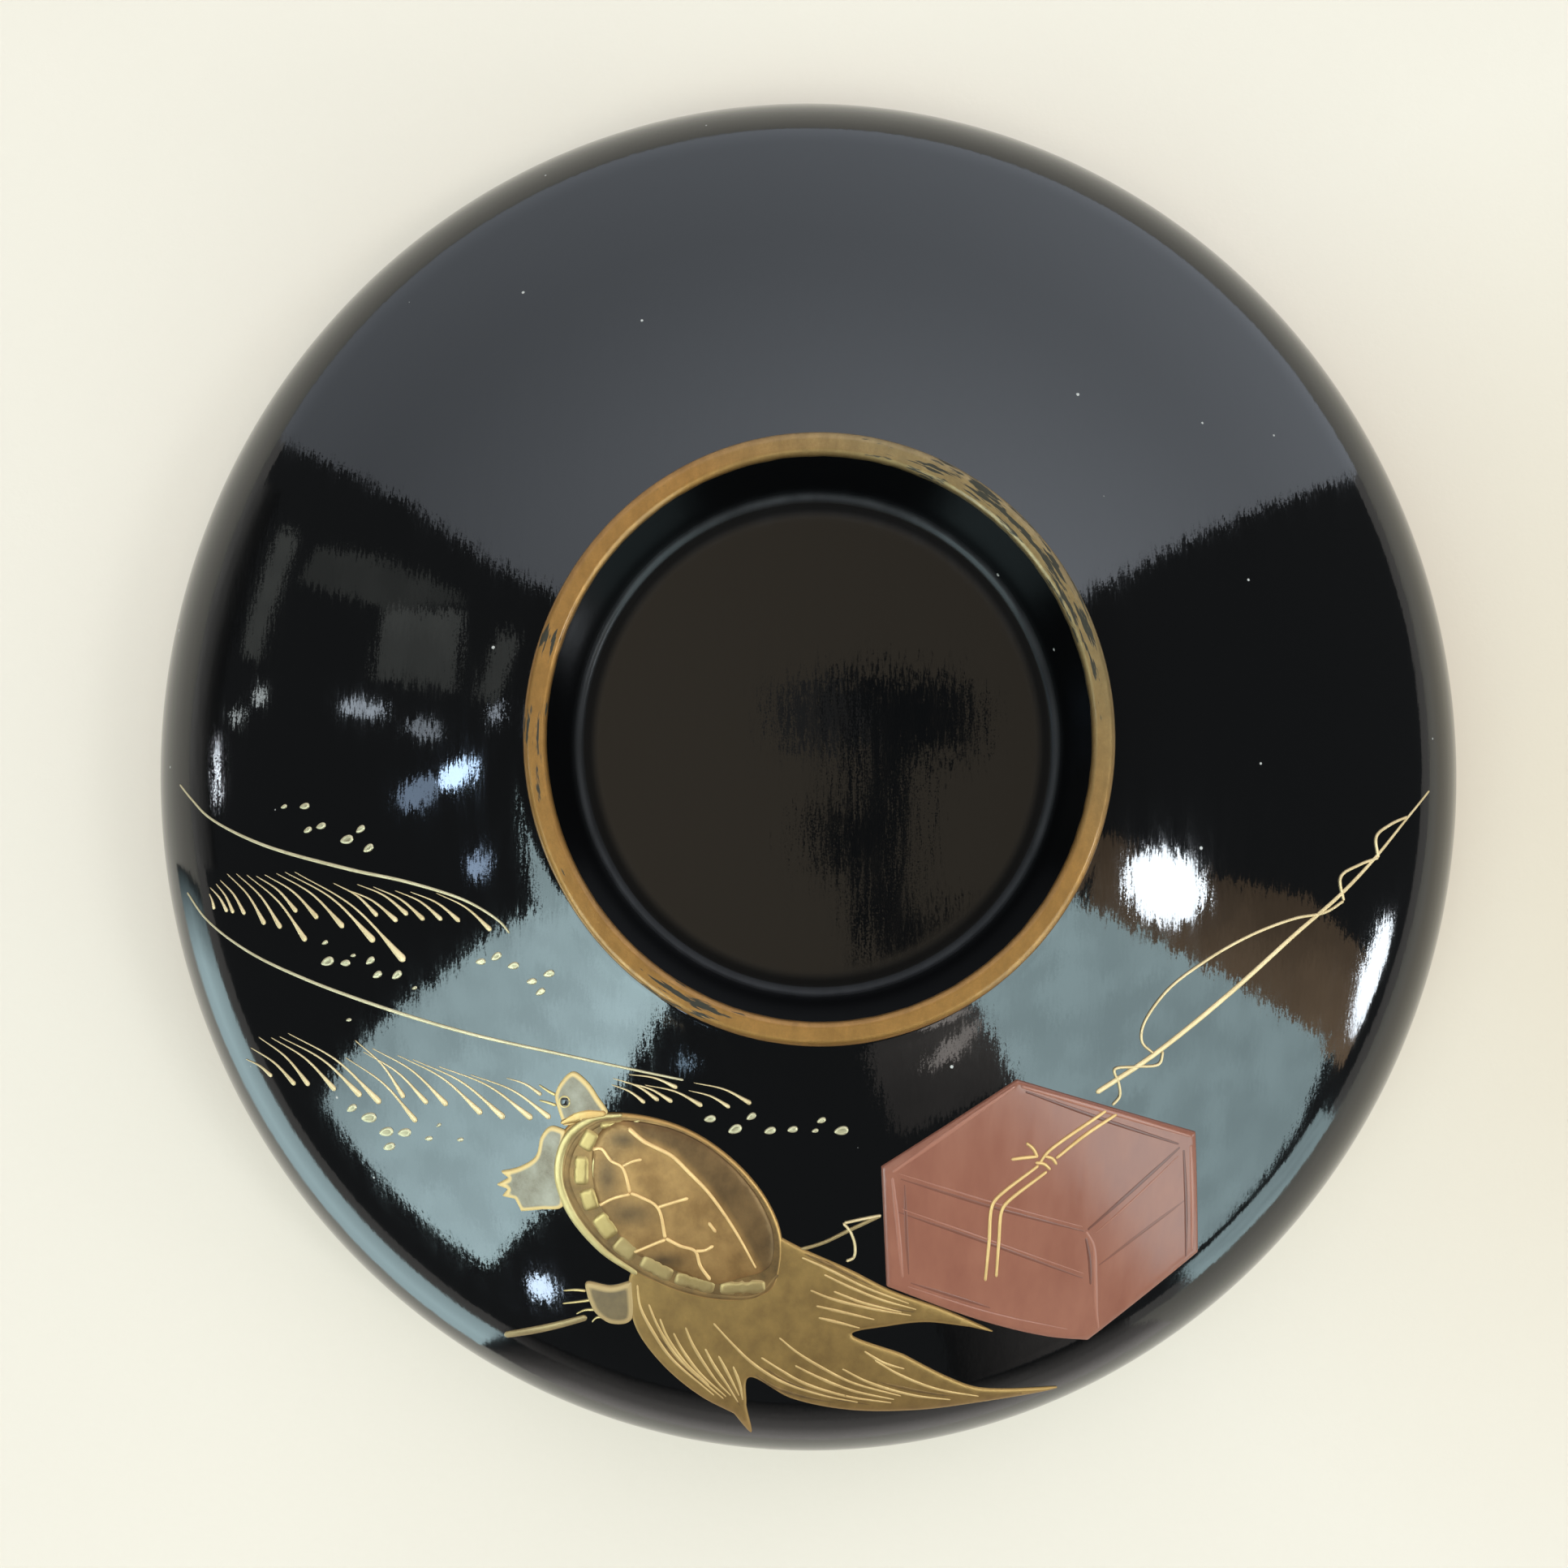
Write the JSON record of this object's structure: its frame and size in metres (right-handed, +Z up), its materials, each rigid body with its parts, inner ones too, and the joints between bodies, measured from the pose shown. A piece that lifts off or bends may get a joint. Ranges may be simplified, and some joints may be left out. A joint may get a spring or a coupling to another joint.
{
  "type": "lacquered wooden bowl lid",
  "caption": "Round turned wooden soup bowl lid with a ring grip, black lacquer, gilt ring edge and raised gold and red painted decoration.",
  "frame": {"origin": "on the lid's axis at the height of the rim it stands on", "axes": "+Z up through the ring, +Y along the wood's grain, -Y towards the decorated side"},
  "size_m": [0.1132, 0.118, 0.033],
  "materials": {
    "bare_wood": "dry, fine straight grain",
    "black_lacquer": "gloss, with faint grain streaks",
    "inner_black_lacquer": "gloss",
    "ring_gold": "worn gold, satin",
    "gold_relief": "raised gold powder under clear lacquer, satin",
    "dark_gold": "raised gold line, satin",
    "pale_gold": "raised gold line, satin",
    "silver_gold": "silver and gold powder, satin",
    "red_lacquer": "dusty red lacquer, semi-gloss",
    "red_ridge_lacquer": "dusty red lacquer, semi-gloss",
    "gold_line": "fine gold line, satin"
  },
  "bodies": {
    "root": {"wooden_core": "bare_wood", "outer_lacquer": "black_lacquer", "rim_lacquer": "black_lacquer", "inner_lacquer": "inner_black_lacquer", "ring_gold_band": "ring_gold", "turtle_shell": "gold_relief", "turtle_shell_margin": "gold_relief", "turtle_shell_seams": "dark_gold", "turtle_head": "silver_gold", "turtle_front_leg": "gold_relief", "turtle_hind_leg": "gold_relief", "turtle_claws": "gold_line", "turtle_tail": "gold_relief", "turtle_tail_hairs": "pale_gold", "red_box": "red_lacquer", "box_ridges": "red_ridge_lacquer", "box_cord": "gold_line", "fishing_rod": "gold_line", "fishing_line": "gold_line", "wave_crests": "gold_line", "wave_spray": "gold_line", "foam_drops": "gold_line"}
  },
  "joints": []
}
